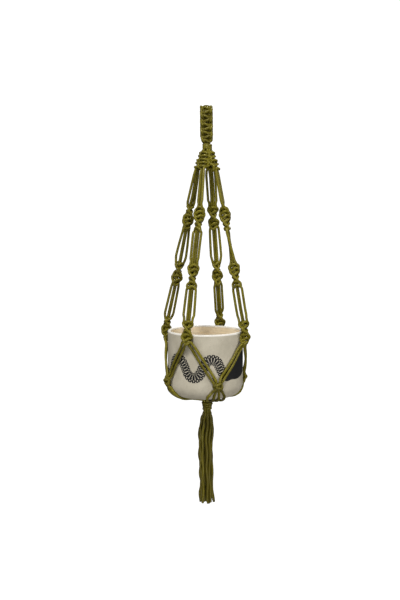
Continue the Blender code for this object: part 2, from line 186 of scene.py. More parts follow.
# How far the cords stand to the right at each height, where they have settled off the axis
LEAN = (
    ((0.010, 0.0014), (-0.045, 0.0018), (-0.060, 0.0032), (-0.072, 0.0030), (-0.100, 0.0010))
    + ((-0.165, 0.0), (-0.515, 0.0), (-0.538, 0.0036), (-0.556, 0.0034), (-0.588, 0.0015))
    + ((-0.613, 0.0003), (-0.645, 0.0012), (-0.687, 0.0020), (-0.732, 0.0036))
)

rng = random.Random(7)


# Camera


def add_object(name, data):
    obj = bpy.data.objects.new(name, data)
    bpy.context.scene.collection.objects.link(obj)
    return obj


def add_camera():
    data = bpy.data.cameras.new("camera")
    data.lens = CAMERA_LENS
    data.sensor_width = 36.0
    data.clip_end = 50.0
    camera = add_object("camera", data)
    camera.location = CAMERA_AT
    camera.rotation_euler = (math.pi / 2.0 - CAMERA_PITCH, 0.0, 0.0)
    bpy.context.scene.camera = camera


# Paths


def smooth_step(value):
    t = min(max(value, 0.0), 1.0)
    return t * t * (3.0 - 2.0 * t)


def polar(azimuth, radius, z):
    return np.array((radius * math.sin(azimuth), -radius * math.cos(azimuth), z))


def unit(vector):
    return vector / np.linalg.norm(vector)


def even(points, spacing):
    """The same line with its points evenly spaced."""
    lengths = np.linalg.norm(np.diff(points, axis=0), axis=1)
    along = np.concatenate(([0.0], np.cumsum(lengths)))
    count = max(int(round(along[-1] / spacing)), 3) + 1
    at = np.linspace(0.0, along[-1], count)
    return np.stack([np.interp(at, along, points[:, k]) for k in range(3)], axis=1)


def curve_through(controls, spacing=RING_SPACING, soften=2):
    """A smooth, evenly spaced line through control points, with its tight corners softened."""
    p = np.asarray(controls, float)
    keep = np.concatenate(([True], np.linalg.norm(np.diff(p, axis=0), axis=1) > 1e-6))
    p = p[keep]
    step = np.sqrt(np.linalg.norm(np.diff(p, axis=0), axis=1))
    slopes = np.diff(p, axis=0) / step[:, None]
    tangents = np.empty_like(p)
    tangents[0], tangents[-1] = slopes[0], slopes[-1]
    before, after = step[:-1, None], step[1:, None]
    tangents[1:-1] = (slopes[:-1] * after + slopes[1:] * before) / (before + after)
    out = []
    for i in range(len(p) - 1):
        h = step[i]
        for t in np.linspace(0.0, 1.0, 12, endpoint=False):
            a = 2 * t**3 - 3 * t**2 + 1
            b = t**3 - 2 * t**2 + t
            c = -2 * t**3 + 3 * t**2
            d = t**3 - t**2
            out.append(a * p[i] + b * h * tangents[i] + c * p[i + 1] + d * h * tangents[i + 1])
    out.append(p[-1])
    line = even(np.array(out), spacing)
    for _ in range(soften):
        line[1:-1] = 0.25 * line[:-2] + 0.5 * line[1:-1] + 0.25 * line[2:]
    return even(line, spacing)


def push_off_pot(line, radius=CORD_RADIUS):
    """Moves points that would sink into the pot's side out to its surface."""
    flat = np.hypot(line[:, 0], line[:, 1])
    least = POT_RADIUS + 0.0003 + radius
    low = line[:, 2] < POT_RIM_Z + 0.001
    sunk = low & (flat < least) & (line[:, 2] > POT_BOTTOM_Z + POT_FOOT_ROUND) & (flat > 0.04)
    scale = np.where(sunk, least / np.maximum(flat, 1e-6), 1.0)
    moved = line.copy()
    moved[:, 0] *= scale
    moved[:, 1] *= scale
    for _ in range(3):
        moved[1:-1, :2] = 0.25 * moved[:-2, :2] + 0.5 * moved[1:-1, :2] + 0.25 * moved[2:, :2]
    return moved


# Cords as meshes


def tube_arrays(line, radius, phase):
    """Vertices, faces and UVs of a braided cord: its surface rises and falls with the braid."""
    n, sides = len(line), CORD_SIDES
    radius = np.broadcast_to(np.asarray(radius, float), (n,))
    tangents = np.gradient(line, axis=0)
    tangents /= np.linalg.norm(tangents, axis=1)[:, None]
    normal = np.cross(tangents[0], (0.31, 0.52, 0.79))
    normals = np.empty_like(line)
    for i in range(n):
        normal = unit(normal - tangents[i] * normal.dot(tangents[i]))
        normals[i] = normal
    across = np.cross(tangents, normals)
    steps = np.linalg.norm(np.diff(line, axis=0), axis=1)
    along = np.concatenate(([0.0], np.cumsum(steps))) + phase
    angle = 2.0 * math.pi * np.arange(sides) / sides
    wave = 2.0 * math.pi * along[:, None] / BRAID_PITCH
    ridge = np.maximum(np.cos(wave + 2.0 * angle), np.cos(wave - 2.0 * angle + math.pi))
    out = radius[:, None] * (1.0 + 0.022 * ridge)
    ring = normals[:, None] * np.cos(angle)[None, :, None]
    ring = ring + across[:, None] * np.sin(angle)[None, :, None]
    verts = (line[:, None] + out[:, :, None] * ring).reshape(-1, 3)
    starts = np.arange(n - 1)[:, None] * sides
    k = np.arange(sides)[None, :]
    following = (k + 1) % sides
    quads = np.stack(
        [starts + k, starts + following, starts + sides + following, starts + sides + k], axis=2
    ).reshape(-1, 4)
    u0, u1 = k / sides + 0.0 * starts, (k + 1) / sides + 0.0 * starts
    v0, v1 = along[:-1, None] + 0.0 * k, along[1:, None] + 0.0 * k
    uvs = np.stack(
        [np.stack(pair, 2) for pair in ((u0, v0), (u1, v0), (u1, v1), (u0, v1))], axis=2
    ).reshape(-1, 2)
    return verts, quads, uvs, along


def cap(line, verts, at_start):
    """A slightly domed end: one ring drawn in and a middle point."""
    sides = CORD_SIDES
    ring = verts[:sides] if at_start else verts[-sides:]
    centre = line[0] if at_start else line[-1]
    out = unit(line[0] - line[1]) if at_start else unit(line[-1] - line[-2])
    inner = centre + (ring - centre) * 0.72 + out * 0.0006
    middle = centre + out * 0.0008
    return inner, middle


def leaning(line):
    """The line with the small sideways set that the planter's top and bottom have."""
    depths = [-height for height, _ in LEAN]
    moved = line.copy()
    moved[:, 0] += np.interp(-line[:, 2], depths, [shift for _, shift in LEAN])
    return moved


def cord_mesh(name, cords):
    """One mesh of several cords, each a dictionary with its line, radius and shade."""
    all_verts, faces, uvs, shades = [], [], [], []
    offset = 0
    for cord in cords:
        line = leaning(cord["line"])
        phase = cord.get("phase", rng.random() * BRAID_PITCH)
        verts, quads, quad_uvs, along = tube_arrays(line, cord.get("radius", CORD_RADIUS), phase)
        n = len(line) * CORD_SIDES
        faces += (quads + offset).tolist()
        uvs += quad_uvs.tolist()
        for at_start in (True, False):
            inner, middle = cap(line, verts[:n], at_start)
            base = len(verts)
            verts = np.vstack([verts, inner, middle[None]])
            first = 0 if at_start else n - CORD_SIDES
            v = float(along[0] if at_start else along[-1])
            for k in range(CORD_SIDES):
                j = (k + 1) % CORD_SIDES
                quad = [first + k, base + k, base + j, first + j]
                fan = [base + k, base + CORD_SIDES, base + j]
                if not at_start:
                    quad.reverse()
                    fan.reverse()
                faces.append([offset + x for x in quad])
                faces.append([offset + x for x in fan])
                uvs += [[k / CORD_SIDES, v]] * 7
        all_verts.append(verts)
        shades.append(np.full(len(verts), cord.get("shade", rng.random()), np.float32))
        offset += len(verts)
    mesh = bpy.data.meshes.new(name)
    mesh.from_pydata(np.vstack(all_verts).tolist(), [], faces)
    layer = mesh.uv_layers.new(name="cord")
    layer.data.foreach_set("uv", np.asarray(uvs, np.float32).ravel())
    shade = mesh.attributes.new("shade", "FLOAT", "POINT")
    shade.data.foreach_set("value", np.concatenate(shades))
    mesh.shade_smooth()
    return mesh


def ring_faces(rings, sides):
    """Quads between closed rings of vertices that follow one another."""
    faces = []
    for low in range(0, (rings - 1) * sides, sides):
        for k in range(sides):
            j = (k + 1) % sides
            faces.append((low + k, low + j, low + sides + j, low + sides + k))
    return faces


def add_piece(name, mesh, node, slot):
    """A visible piece that stands for one CAD node, in one of its material slots."""
    mesh.materials.append(materials[slot])
    obj = add_object(name, mesh)
    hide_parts(node)
    return obj


def add_cords(node, cords):
    """The planter's piece made of these cords."""
    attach(add_piece(f"{node}_cords", cord_mesh(node, cords), node, "olive_cord"), "planter")


# Knots: control points of a working cord, as shares of the knot's half width, half depth and
# pitch. Half knot j crosses the fillers at j + 0.5 pitches below the sennit's top.


CROSS = ((-0.80, 0.62, 0.30), (-0.30, 1.02, 0.20), (0.30, 1.02, -0.16), (0.62, 0.55, -0.22))
KNUCKLE = ((0.78, -0.35, -0.10), (0.98, -1.00, 0.20), (1.06, -0.72, 0.76))
SQUARE_FRONT = (
    (-0.84, 0.62, 0.26),
    (-0.34, 1.05, 0.18),
    (0.34, 1.00, -0.16),
    (0.68, 0.35, -0.22),
    (0.92, -0.10, 0.12),
    (1.04, 0.25, 0.70),
)
SQUARE_BACK = (
    (0.80, -0.35, 0.10),
    (0.30, -1.00, 0.08),
    (-0.30, -1.00, -0.04),
    (-0.64, -0.20, -0.14),
    (-0.82, 0.95, -0.04),
    (-1.02, 1.15, 0.34),
    (-1.04, 0.25, 0.80),
)


def spiral_controls(which, count):
    """The working cord that starts on the left (0) or right (1) of a spiral of half knots."""
    points = []
    for j in range(count):
        side = 1.0 if (which + j) % 2 == 0 else -1.0
        template = CROSS if j == count - 1 else CROSS + KNUCKLE
        points += [(side * x, side * y, s + j + 0.5) for x, y, s in template]
    return points


def square_controls(which, count):
    """The cord that always crosses in front (0), from the left, or behind (1), from the right."""
    template = SQUARE_FRONT if which == 0 else SQUARE_BACK
    points = []
    for j in range(count):
        side = 1.0 if j % 2 == 0 else -1.0
        last = template[:4] if j == count - 1 else template
        points += [(side * x, y, s + j + 0.5) for x, y, s in last]
    return points


# Legs


def rounded_ramp(x):
    if x <= -LEG_BEND:
        return 0.0
    if x >= LEG_BEND:
        return x
    return (x + LEG_BEND) ** 2 / (4.0 * LEG_BEND)


def leg_radius(z):
    flare = (LEG_CROWN_RADIUS - LEG_TOP_RADIUS) / (LEG_TOP_Z - LEG_CROWN_Z)
    slope = (LEG_RIM_RADIUS - LEG_CROWN_RADIUS) / (LEG_CROWN_Z - LEG_RIM_Z)
    radius = LEG_CROWN_RADIUS + flare * (LEG_CROWN_Z - z)
    radius -= (flare - slope) * rounded_ramp(LEG_CROWN_Z - z)
    return radius - slope * rounded_ramp(LEG_RIM_Z - z)


def sway(leg, z):
    upper, extra = LEG_SWAY[leg]
    keys = dict(zip(UPPER_SWAY_HEIGHTS, upper)) | extra | {SWAY_END_Z: 0.0}
    depths = sorted(-height for height in keys)
    return float(np.interp(-z, depths, [keys[-depth] for depth in depths]))


def spiral_spans(leg):
    """(top, bottom) of a leg's three spirals."""
    lifts = zip(SPIRALS.values(), SPIRAL_LIFT[leg])
    return [(top + lift, bottom + lift) for (top, bottom), lift in lifts]


def leg_centre(leg, z):
    centre = polar(math.radians(LEG_AZIMUTH[leg]), leg_radius(z), z)
    centre[0] += sway(leg, z)
    return centre


def leg_axes(leg, z):
    down = unit(leg_centre(leg, z - 0.004) - leg_centre(leg, z + 0.004))
    right = unit(np.array((1.0, 0.0, 0.0)) - down * down[0])
    return down, right, np.cross(down, right)


def leg_point(leg, z, x, y, turn):
    """A point beside a leg: x along a direction turned from rightwards, y square to it."""
    down, right, front = leg_axes(leg, z)
    long_axis = math.cos(turn) * right + math.sin(turn) * front
    return leg_centre(leg, z) + x * long_axis + y * np.cross(down, long_axis)


def leg_turns(leg):
    """(z, turn) keys down a leg, each taken with the half turn that is nearest the one before."""
    keys = []
    spans = spiral_spans(leg)
    for index, (top, bottom) in enumerate(spans):
        above = CROWN_BOTTOM_Z[leg] if index == 0 else spans[index - 1][1]
        stretch, spiral = STRETCH_TURN[leg][index], SPIRAL_TURN[leg][index]
        open_keys = ((above - 0.004, stretch[0]), (top + 0.008, stretch[1]))
        spiral_keys = ((top - 0.002, spiral[0]), (bottom + 0.003, spiral[1]))
        for group in (open_keys, spiral_keys):
            shift = 0.0
            if keys:
                shift = 180.0 * round((keys[-1][1] - group[0][1]) / 180.0)
            keys += [(z, turn + shift) for z, turn in group]
    return keys


def turn_at(keys, z):
    depths = [-height for height, _ in keys]
    return math.radians(np.interp(-z, depths, [turn for _, turn in keys]))


def stretch_offset(index, z, above, below):
    """How far an open stretch's outer cords stand from the leg's middle."""
    start, wide, entry, opening = LATER_STRETCH if index else FIRST_STRETCH
    x = start + (wide - start) * smooth_step((above - z) / opening)
    return entry + (x - entry) * smooth_step((z - below) / STRETCH_CLOSING)


def working_line(leg, which):
    """One working cord of a leg from the crown's end to the net, and the lane that it leaves in."""
    keys = leg_turns(leg)
    side = -1.0 if which == 0 else 1.0
    above = CROWN_BOTTOM_Z[leg]
    points = [(above + 0.004, side * 0.0066, 0.0)]
    for index, (top, bottom) in enumerate(spiral_spans(leg)):
        for t in np.linspace(0.0, 1.0, 14)[0:-1]:
            z = above + (0.0002 if index else -0.001) + (top - above) * t
            points.append((z, side * stretch_offset(index, z, above, top), 0.0))
        pitch = (top - bottom) / (SPIRAL_KNOTS - SPIRAL_SHORT[index])
        cord = 0 if side < 0 else 1
        for x, y, s in spiral_controls(cord, SPIRAL_KNOTS):
            points.append((top - s * pitch, x * SPIRAL_HALF_WIDTH, y * SPIRAL_HALF_DEPTH))
        side = side if SPIRAL_KNOTS % 2 == 0 else -side
        above = bottom
    line = [leg_point(leg, z, x, y, turn_at(keys, z)) for z, x, y in points]
    return line, side


def lane_start(leg, lane):
    """Where a net cord begins, this far to the side of the leg."""
    z = spiral_spans(leg)[2][1] - 4.0 * GAP
    start = polar(math.radians(LEG_AZIMUTH[leg]) + lane / SURFACE_RADIUS, LEG_RIM_RADIUS, z)
    start[0] += sway(leg, z)
    return start


def cut(line, top, bottom):
    """The part of a line that goes down from one height to another."""
    above = np.nonzero(line[:, 2] >= top)[0]
    below = np.nonzero(line[:, 2] <= bottom)[0]
    first = max(above[-1] - 1, 0) if len(above) else 0
    last = min(below[0] + 2, len(line)) if len(below) else len(line)
    return line[first:last]


def leg_sideways(leg):
    azimuth = math.radians(LEG_AZIMUTH[leg])
    return np.array((math.cos(azimuth), math.sin(azimuth), 0.0))


def filler_line(leg, side):
    sideways = leg_sideways(leg)
    points = []
    spans = spiral_spans(leg)
    for z in np.linspace(-0.074, spans[2][1], 60):
        apart = CORD_PITCH / 2.0
        if z > CROWN_BOTTOM_Z[leg]:
            apart = min(apart, 0.34 * leg_radius(z))
        share = (CROWN_BOTTOM_Z[leg] - z) / (CROWN_BOTTOM_Z[leg] - spans[0][0])
        point = leg_centre(leg, z) + side * apart * sideways
        point[0] += FILLER_SET[leg] * smooth_step(4.0 * share) * smooth_step(4.0 * (1.0 - share))
        points.append(point)
    points.append(lane_start(leg, side * (PAIR_AT - PAIR_APART)))
    return curve_through(points, soften=1)


def crown_cords(leg):
    """Square knots from the wrap to the crown's end, narrow where the four legs meet."""
    sideways = leg_sideways(leg)
    top, bottom = TOP_WRAP_BOTTOM_Z - 0.003, CROWN_BOTTOM_Z[leg]
    pitch = (top - bottom) / CROWN_KNOTS
    cords = []
    for which in (0, 1):
        side = -1.0 if which == 0 else 1.0
        points = []
        controls = [(0.5 * side, 0.0, -0.9), (0.6 * side, 0.0, -0.2)]
        controls += square_controls(which, CROWN_KNOTS)
        for x, y, s in controls:
            z = top - s * pitch
            centre = leg_centre(leg, z)
            radius = math.hypot(centre[0], centre[1])
            deep = min(CROWN_HALF_DEPTH, 0.5 * radius)
            half = min(CROWN_HALF_WIDTH, 1.3 * radius) - 0.0021
            down = leg_axes(leg, z)[0]
            outwards = np.cross(sideways, down)
            points.append(centre + half * x * sideways + deep * y * outwards)
        exit_side = -side if CROWN_KNOTS % 2 else side
        cords.append((points, exit_side))
    return cords


def build_legs():
    for leg in LEG_AZIMUTH:
        crown = crown_cords(leg)
        exits = sorted(crown, key=lambda item: item[1])
        working = []
        for which in (0, 1):
            line, side = working_line(leg, which)
            line = exits[which][0] + line[1:]
            end = lane_start(leg, side * (PAIR_AT + PAIR_APART))
            line += [end + np.array((0.0, 0.0, 0.003)), end]
            working.append(push_off_pot(curve_through(line), KNOT_RADIUS))
        fillers = [filler_line(leg, side) for side in (-1.0, 1.0)]
        tops = [span[0] for span in spiral_spans(leg)]
        limits = [("crown_knots", 0.0, tops[0]), ("upper_spiral", tops[0], tops[1])]
        limits += [("middle_spiral", tops[1], tops[2]), ("rim_spiral", tops[2], -1.0)]
        shade = [rng.random(), rng.random()]
        for name, top, bottom in limits:
            cords = []
            for line, value in zip(working, shade):
                part = cut(line, top, bottom)
                cord = {"line": part, "radius": knot_radius(part, leg), "shade": value}
                cords.append(cord | {"phase": 0.0})
            if name == "crown_knots":
                for line in fillers:
                    part = cut(line, 0.0, CROWN_BOTTOM_Z[leg] - 2.0 * GAP)
                    # the fillers buried in the crown are given painted shade
                    cord = {"line": part, "radius": KNOT_RADIUS, "shade": CROWN_PAINTED_SHADE}
                    cords.append(cord | {"phase": 0.0})
            add_cords(f"{name}_{leg}", cords)
        for number, line in enumerate(fillers, start=1):
            part = cut(line, CROWN_BOTTOM_Z[leg] - 2.0 * GAP, -1.0)
            add_cords(f"filler_cord_{leg}_{number}", [{"line": part, "phase": 0.0}])


def knot_radius(line, leg):
    """A working cord is squeezed inside the knots and full between them."""
    radius = np.full(len(line), CORD_RADIUS)
    ranges = [(0.0, CROWN_BOTTOM_Z[leg])] + spiral_spans(leg)
    for i, z in enumerate(line[:, 2]):
        for top, bottom in ranges:
            inside = smooth_step((top + 0.002 - z) / 0.006)
            inside *= smooth_step((z - bottom + 0.002) / 0.006)
            radius[i] -= (CORD_RADIUS - KNOT_RADIUS) * inside
    return radius


# Net and base


def net_line(net, side, lane):
    first_leg, second_leg, azimuth, shift, stand_off = NETS[net]
    leg = first_leg if side < 0.0 else second_leg
    top = spiral_spans(leg)[2][1] - 4.0 * GAP
    bottom = NET_KNOT_Z + NET_KNOT_HALF_HEIGHT + 3.0 * GAP
    start = np.array((side * (math.radians(45.0) * SURFACE_RADIUS - PAIR_AT), top))
    end = np.array((side * PAIR_AT + math.radians(shift) * SURFACE_RADIUS, bottom))
    pull = np.array((0.0, NET_CORD_PULL))
    shape = (start, start - pull, end + pull, end)
    points = []
    for t in np.linspace(0.0, 1.0, 25):
        weights = ((1 - t) ** 3, 3 * t * (1 - t) ** 2, 3 * t * t * (1 - t), t**3)
        slopes = (-3 * (1 - t) ** 2, 3 * (1 - t) * (1 - 3 * t), 3 * t * (2 - 3 * t), 3 * t * t)
        flat = sum(w * p for w, p in zip(weights, shape))
        along = unit(sum(s * p for s, p in zip(slopes, shape)))
        apart = PAIR_APART + NET_CORD_SPREAD * abs(math.sin(math.pi * t)) ** 0.5
        flat = flat + lane * side * apart * np.array((along[1], -along[0]))
        radius = SURFACE_RADIUS
        radius += (LEG_RIM_RADIUS - SURFACE_RADIUS) * (1.0 - smooth_step(t / 0.3))
        radius += (NET_KNOT_RADIUS - SURFACE_RADIUS) * smooth_step((t - 0.8) / 0.2)
        radius += stand_off * (side < 0.0) * math.sin(math.pi * t)
        point = polar(math.radians(azimuth) + flat[0] / SURFACE_RADIUS, radius, flat[1])
        point[0] += sway(leg, flat[1])
        points.append(point)
    return points


def arc(centre, radius, start, end, count):
    angles = np.radians(np.linspace(start, end, count))
    return [(centre[0] + radius * math.cos(a), centre[1] + radius * math.sin(a)) for a in angles]


def base_route():
    foot = (POT_RADIUS - POT_FOOT_ROUND, POT_BOTTOM_Z + POT_FOOT_ROUND)
    bend = POT_FOOT_ROUND + 0.0003 + CORD_RADIUS
    inner_end = (GATHER_ENTRY_RADIUS, GATHER_WRAP_TOP_Z + CORD_PITCH)
    reach = math.hypot(foot[0] - inner_end[0], foot[1] - inner_end[1])
    rise = math.atan2(foot[1] - inner_end[1], foot[0] - inner_end[0])
    leave = math.degrees(rise - math.asin(bend / reach)) - 90.0
    return arc(foot, bend, -10.0, leave, 9) + [inner_end]


def knot_azimuth(net):
    return math.radians(NETS[net][2] + NETS[net][3])


def knot_point(net, x, y, z):
    return polar(knot_azimuth(net) + x / NET_KNOT_RADIUS, NET_KNOT_RADIUS + y, z)


def base_points(net, start_offset, fan, level):
    """From the knot down round the foot and into the gather, lower at level 1 than at 0."""
    route = base_route()
    azimuth = knot_azimuth(net)
    points = []
    for i, (radius, z) in enumerate(route):
        spread = smooth_step((i + 1.5) / 6.0) if i < len(route) - 1 else 0.5
        angle = (1.0 - spread) * start_offset / NET_KNOT_RADIUS + spread * math.radians(fan)
        if i == len(route) - 1:
            z -= 0.0022 * level
            radius -= 0.001 * level
        points.append(polar(azimuth + angle, radius, z))
    angle = azimuth + math.radians(fan * 1.6)
    inside = GATHERED_RADIUS if abs(fan) > 5.0 else 0.0030
    points.append(polar(angle, inside + 0.0014, GATHER_WRAP_TOP_Z - 0.001))
    points.append(polar(angle, inside, GATHER_WRAP_TOP_Z - 0.005))
    points.append(polar(angle, inside, GATHER_WRAP_BOTTOM_Z + 0.001))
    return points


def bundle_radius(line):
    """Cords squeezed inside the gather wrap."""
    top, low = GATHER_WRAP_TOP_Z + 0.004, GATHER_WRAP_BOTTOM_Z - 0.004
    z = line[:, 2]
    inside = np.clip((top - z) / 0.005, 0.0, 1.0) * np.clip((z - low) / 0.005, 0.0, 1.0)
    return CORD_RADIUS - 0.0006 * inside


def build_net():
    lanes = ((-1.0, -1.0), (-1.0, 1.0), (1.0, 1.0), (1.0, -1.0))
    top = NET_KNOT_Z + NET_KNOT_HALF_HEIGHT - 0.0008
    half, deep = NET_KNOT_HALF_WIDTH, NET_KNOT_CROSSING
    for net in NETS:
        for number, (side, lane) in enumerate(lanes, start=1):
            line = curve_through(net_line(net, side, lane), soften=1)
            add_cords(f"net_cord_{net}_{number}", [{"line": line}])
        routes = []
        enter = NET_KNOT_Z + NET_KNOT_HALF_HEIGHT + 4.0 * GAP
        leave = NET_KNOT_Z - NET_KNOT_HALF_HEIGHT - 0.0006
        for which, side in ((0, -1.0), (1, 1.0)):
            points = [knot_point(net, side * (PAIR_AT + PAIR_APART), 0.0, enter)]
            for x, y, s in square_controls(which, 2):
                points.append(knot_point(net, x * half, y * deep, top - s * NET_KNOT_PITCH))
            points.append(knot_point(net, side * KNOT_EXIT_AT, -0.0004, leave))
            points += base_points(net, side * (KNOT_EXIT_AT + GAP), side * BASE_FAN[1], 0.0)
            routes.append(points)
        for side in (-1.0, 1.0):
            points = [knot_point(net, side * (PAIR_AT - PAIR_APART), 0.0, enter)]
            points.append(knot_point(net, side * KNOT_FILLER_AT, 0.0, NET_KNOT_Z))
            points.append(knot_point(net, side * KNOT_FILLER_AT, -0.0010, leave))
            points += base_points(net, side * (KNOT_FILLER_AT + 0.0001), side * BASE_FAN[0], 1.0)
            routes.append(points)
        lines = [push_off_pot(curve_through(points)) for points in routes]
        cords = [{"line": line, "radius": bundle_radius(line)} for line in lines]
        add_cords(f"net_knot_{net}", cords)


# Wraps and hanging loop


def coil(span, turns, start_azimuth, radii, uneven=0.0):
    """A wrap's cord from the top to the bottom of a span, with both of its ends tucked in."""
    first, last = span[0] - CORD_RADIUS, span[1] + CORD_RADIUS
    points = []
    count = int(turns * POINTS_PER_TURN)
    for i in range(count + 1):
        t = i / count
        tuck = min(t, 1.0 - t) * turns
        azimuth = start_azimuth + 2.0 * math.pi * turns * t
        r = radii[0] + (radii[1] - radii[0]) * t - CORD_RADIUS + uneven * math.sin(1.7 * azimuth)
        r -= 0.0026 * (1.0 - smooth_step(tuck / 0.18))
        level = smooth_step((t * turns - 0.2) / (turns - 0.4)) * 0.35 + 0.65 * t
        points.append(polar(azimuth, r, first + (last - first) * level))
    return curve_through(points, soften=1)


def build_wraps():
    span = (TOP_WRAP_TOP_Z, TOP_WRAP_BOTTOM_Z)
    line = coil(span, TOP_WRAP_TURNS, math.radians(150.0), TOP_WRAP_RADII)
    add_cords("top_wrap", [{"line": line, "radius": TOP_WRAP_CORD_RADIUS}])
    span = (GATHER_WRAP_TOP_Z, GATHER_WRAP_BOTTOM_Z)
    line = coil(span, GATHER_WRAP_TURNS, math.radians(120.0), GATHER_WRAP_RADII, uneven=0.0005)
    add_cords("gather_wrap", [{"line": line}])


def strap_centre(t):
    bend = LOOP_INNER_RADIUS + STRAP_THICKNESS / 2.0
    crest = -LOOP_INNER_RADIUS
    foot_y = STRAP_THICKNESS / 2.0 + GAP
    foot_z = TOP_WRAP_TOP_Z
    side = math.hypot(bend - foot_y, crest - foot_z)
    total = 2.0 * side + math.pi * bend
    along = t * total
    if along < side:
        u = along / side
        eased = u + 0.25 * math.sin(math.pi * u) / math.pi
        return (-(foot_y + (bend - foot_y) * eased), foot_z + (crest - foot_z) * u)
    if along > total - side:
        y, z = strap_centre(1.0 - t)
        return (-y, z)
    angle = (along - side) / bend
    return (-bend * math.cos(angle), crest + bend * math.sin(angle))


def strap_point(t, x, y):
    """A point of the strap: t along it, x across, y out of its outer face."""
    here = np.array((0.0, *strap_centre(min(max(t, 0.0), 1.0))))
    before = np.array((0.0, *strap_centre(max(t - 0.004, 0.0))))
    after = np.array((0.0, *strap_centre(min(t + 0.004, 1.0))))
    tangent = unit(after - before)
    outward = np.array((0.0, -tangent[2], tangent[1]))
    beyond = (t - min(max(t, 0.0), 1.0)) * STRAP_LENGTH
    taper = 0.80 + 0.20 * smooth_step(min(t, 1.0 - t) / 0.10)
    return here + tangent * beyond + np.array((x * taper, 0.0, 0.0)) + outward * y


def build_hanging_loop():
    cords = []
    half = STRAP_WIDTH / 2.0 - KNOT_RADIUS
    deep = STRAP_THICKNESS / 2.0 - KNOT_RADIUS + LOOP_CROSSING
    for which in (0, 1):
        side = -1.0 if which == 0 else 1.0
        points = [strap_point(-0.05, side * 0.0052, 0.0)]
        for x, y, s in square_controls(which, LOOP_KNOTS):
            points.append(strap_point(s / LOOP_KNOTS, x * half, y * deep))
        points.append(strap_point(1.05, side * 0.0052, 0.0))
        line = curve_through(points, soften=2)
        cords.append({"line": line, "radius": KNOT_RADIUS})
    for offset in LOOP_FILLERS:
        points = [strap_point(t, offset, 0.0) for t in np.linspace(-0.02, 1.02, 60)]
        # the fillers buried in the loop are given painted shade
        cord = {"line": curve_through(points), "radius": INNER_CORD_RADIUS}
        cords.append(cord | {"shade": LOOP_PAINTED_SHADE})
    levels = (TOP_WRAP_TOP_Z + 0.006, TOP_WRAP_TOP_Z - 0.004, TOP_WRAP_BOTTOM_Z - 0.004)
    for k in range(NECK_CORDS):
        azimuth = math.radians(360.0 / NECK_CORDS * k + 10.0)
        points = [polar(azimuth, 0.0040, z) for z in levels]
        cords.append({"line": curve_through(points), "radius": NECK_CORD_RADIUS})
    add_cords("hanging_loop", cords)


# Tassel


# The bundle's radius at each share of its length
TASSEL_SHARES = (0.0, 0.05, 0.165, 0.31, 0.50, 0.74, 1.0)
TASSEL_RADII = (0.0088, 0.0122, 0.0146, 0.0136, 0.0142, 0.0129, 0.0160)
STRANDS = 16
OUTER_STRANDS = 10


def tassel_radius(t):
    return float(np.interp(t, TASSEL_SHARES, TASSEL_RADII)) - CORD_RADIUS


def strand_line(index, rand):
    """One of the tassel's strands, hanging a little wavy and ending where it was cut."""
    outer = index < OUTER_STRANDS
    azimuth = math.radians(36.0 * index + 8.0) if outer else math.radians(60.0 * index + 12.0)
    share = 1.0 if outer else 0.50
    end = TASSEL_BOTTOM_Z + (0.0 if index == 3 else rand.uniform(0.0, 0.0065))
    top = PIVOT_Z + 0.0025
    size = 0.0012 if outer else 0.0006
    waves = [
        (rand.uniform(0.035, 0.075), rand.uniform(0.0, 6.28), size * rand.uniform(0.5, 1.1))
        for _ in range(2)
    ]
    drift = rand.uniform(-14.0, 14.0)
    points = []
    for z in np.linspace(top, end, 40):
        t = (PIVOT_Z - z) / (PIVOT_Z - TASSEL_BOTTOM_Z)
        loose = smooth_step(t / 0.15)
        point = polar(azimuth + math.radians(drift) * t, share * tassel_radius(t), z)
        for k, (length, phase, reach) in enumerate(waves):
            point[k] += reach * loose * math.sin(2.0 * math.pi * (top - z) / length + phase)
        points.append(point)
    return points


def tassel_squeeze(line):
    z = line[:, 2]
    inside = np.clip((z - (PIVOT_Z - 0.012)) / 0.012, 0.0, 1.0)
    return CORD_RADIUS - 0.0003 * inside


def build_tassel():
    rand = random.Random(11)
    lines = [strand_line(index, rand) for index in range(STRANDS)]
    strands = [curve_through(line, spacing=0.0010, soften=1) for line in lines]
    for number, line in enumerate(strands, start=1):
        # The strands' tone is set darker than the other cords': painted shade for the pot's shadow
        # over the tassel.
        cord = {"line": line, "radius": tassel_squeeze(line), "shade": -0.9 + rand.random()}
        name = f"tassel_strand_{number:02d}"
        obj = add_piece(name, cord_mesh(name, [cord]), "tassel", "olive_cord")
        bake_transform(obj)
        path = [tuple(float(value) for value in point) for point in leaning(line)]
    stubs = []
    for line in strands:
        start = line[0]
        inside = unit(np.array((start[0], start[1], 0.0))) * GATHERED_RADIUS
        share = min(math.hypot(start[0], start[1]) / GATHERED_RADIUS, 1.0)
        top = np.array((inside[0] * share, inside[1] * share, GATHER_WRAP_BOTTOM_Z + 0.006))
        controls = [top, 0.5 * (top + start) + (start - top) * 0.1, start, line[3], line[6]]
        stubs.append({"line": curve_through(controls), "radius": STUB_RADIUS})
    mesh = cord_mesh("tassel_neck", stubs)
    obj = add_piece("tassel_neck_cords", mesh, "tassel_neck", "olive_cord")
    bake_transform(obj)


# Pot


BAND_CREST_AZIMUTH = 9.0
BAND_PERIOD = 54.1  # degrees
BAND_MIDDLE_Z = -0.4635
BAND_RISE = 0.0166
BAND_HALF_WIDTH = 0.0096
BAND_CHECK = 0.0052
BAND_MIDDLE_ROW = 0.46  # shares of the half width where the pattern's next rows begin
BAND_OUTER_ROW = 0.76
BAND_END_AZIMUTH = 32.0
BAND_END_RADIUS = 0.0060
BAND_TAIL_AZIMUTH = -207.0
LOBE_AZIMUTH = 66.0
LOBE_Z = -0.4612
LOBE_LONG = 0.040
LOBE_SHORT = 0.0205
LOBE_TILT = 24.0
LOBE_MERGE = 0.014
POT_SEGMENTS = 220


